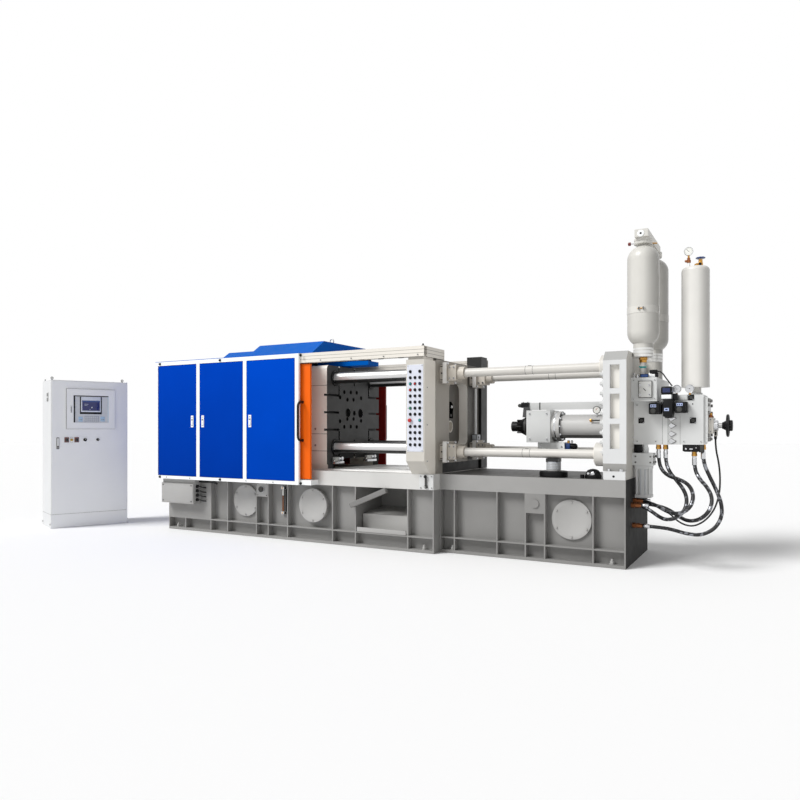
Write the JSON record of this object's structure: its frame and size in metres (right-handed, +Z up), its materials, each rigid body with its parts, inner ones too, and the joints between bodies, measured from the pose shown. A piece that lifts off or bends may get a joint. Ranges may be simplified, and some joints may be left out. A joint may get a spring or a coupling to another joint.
{
  "type": "die casting machine",
  "caption": "Cold-chamber die casting machine: ribbed base, guarded clamping unit with tie bars, shot cylinder frame, accumulators and a separate control cabinet.",
  "frame": {"origin": "on the floor, at the middle of the base's length, on the machine's centre line", "axes": "+X along the machine to the shot end, +Y to the rear, +Z up"},
  "size_m": [8.2709, 2.4444, 3.15],
  "materials": {
    "blue_paint": "satin enamel",
    "roof_blue_paint": "satin enamel",
    "white_paint": "satin enamel",
    "beige_paint": "satin enamel",
    "grey_paint": "satin enamel",
    "light_grey_paint": "satin enamel",
    "orange_paint": "satin enamel",
    "dark_paint": "satin enamel",
    "machined_steel": "ground",
    "chrome": "polished",
    "black_plastic": "moulded",
    "brass": "plain",
    "hose_rubber": "wrapped"
  },
  "bodies": {
    "machine": {"base_clamp_side": "grey_paint", "base_shot_side": "grey_paint", "inspection_covers": "grey_paint", "drop_chute": "grey_paint", "bed_plates": "machined_steel", "fixed_platen": "beige_paint", "thrust_platen": "beige_paint", "tie_bars": "chrome", "guard_frame": "white_paint", "guard_end_panel": "blue_paint", "guard_rear_wall": "white_paint", "roof_cover": "roof_blue_paint", "top_rails": "beige_paint", "top_cross_rail": "beige_paint", "console_post": "beige_paint", "button_panel": "light_grey_paint", "push_buttons": "black_plastic", "latch_plate": "white_paint", "rear_post": "dark_paint", "rod_clamps": "beige_paint", "shot_rods": "white_paint", "shot_frame": "light_grey_paint", "cylinder_head_block": "light_grey_paint", "shot_cylinder": "light_grey_paint", "lower_valve_block": "light_grey_paint", "rod_jack": "dark_paint", "manifold_left": "light_grey_paint", "manifold_right": "light_grey_paint", "valve_block": "light_grey_paint", "accumulators": "beige_paint", "accumulator_bridge": "beige_paint", "nitrogen_bottle": "light_grey_paint", "throttle_housing": "beige_paint", "lift_cylinder": "light_grey_paint", "solenoid_valves": "black_plastic", "pressure_gauges": "machined_steel", "hose_fittings": "brass", "hose_1": "hose_rubber", "hose_2": "hose_rubber", "hose_3": "hose_rubber", "hose_4": "hose_rubber", "cable_1": "hose_rubber", "junction_box": "light_grey_paint", "tank_fittings": "dark_paint", "cabinet_body": "light_grey_paint"},
    "left_guard_door": {"guard_door_left": "blue_paint"},
    "middle_guard_door": {"guard_door_middle": "blue_paint"},
    "right_guard_door": {"guard_door_right": "blue_paint"},
    "front_safety_door": {"safety_door_front": "orange_paint"},
    "rear_safety_door": {"safety_door_rear": "orange_paint"},
    "clamping_platen": {"moving_platen": "beige_paint"},
    "plunger": {"shot_plunger": "black_plastic", "stroke_bar": "light_grey_paint"},
    "throttle_wheel": {"throttle_handwheel": "black_plastic"},
    "gas_valve_wheel": {"nitrogen_wheel": "blue_paint"},
    "lever": {"latch_lever": "machined_steel"},
    "cabinet_leaf": {"cabinet_door": "light_grey_paint", "operator_window": "light_grey_paint", "cabinet_switches": "black_plastic"}
  },
  "joints": [
    {"name": "guard_door_left_hinge", "type": "hinge", "parent": "machine", "child": "left_guard_door", "pos_m": [-2.8285, -0.8875, 1.38], "axis": [0, 0, -1], "range_deg": [0, 90]},
    {"name": "guard_door_middle_hinge", "type": "hinge", "parent": "machine", "child": "middle_guard_door", "pos_m": [-1.4551, -0.8875, 1.38], "axis": [0, 0, 1], "range_deg": [0, 90]},
    {"name": "guard_door_right_hinge", "type": "hinge", "parent": "machine", "child": "right_guard_door", "pos_m": [-0.6985, -0.8875, 1.38], "axis": [0, 0, 1], "range_deg": [0, 90]},
    {"name": "safety_door_front_slide", "type": "slide", "parent": "machine", "child": "front_safety_door", "axis": [1, 0, 0], "range_m": [0, 1.2]},
    {"name": "safety_door_rear_slide", "type": "slide", "parent": "machine", "child": "rear_safety_door", "axis": [1, 0, 0], "range_m": [0, 1.2]},
    {"name": "moving_platen_slide", "type": "slide", "parent": "machine", "child": "clamping_platen", "axis": [1, 0, 0], "range_m": [0, 0.55]},
    {"name": "plunger_slide", "type": "slide", "parent": "machine", "child": "plunger", "axis": [-1, 0, 0], "range_m": [0, 0.45]},
    {"name": "throttle_handwheel_turn", "type": "hinge", "parent": "machine", "child": "throttle_wheel", "pos_m": [3.635, 0, 1.31], "axis": [1, 0, 0], "continuous": true},
    {"name": "nitrogen_wheel_turn", "type": "hinge", "parent": "machine", "child": "gas_valve_wheel", "pos_m": [3.401, 0, 2.891], "axis": [0, 0, 1], "continuous": true},
    {"name": "latch_lever_turn", "type": "hinge", "parent": "machine", "child": "lever", "pos_m": [0.88, -0.751, 0.685], "axis": [0, 1, 0], "range_deg": [0, 90]},
    {"name": "cabinet_door_hinge", "type": "hinge", "parent": "machine", "child": "cabinet_leaf", "pos_m": [-3.74403, -0.64195, 1.04], "axis": [0, 0, 1], "range_deg": [0, 90]}
  ]
}
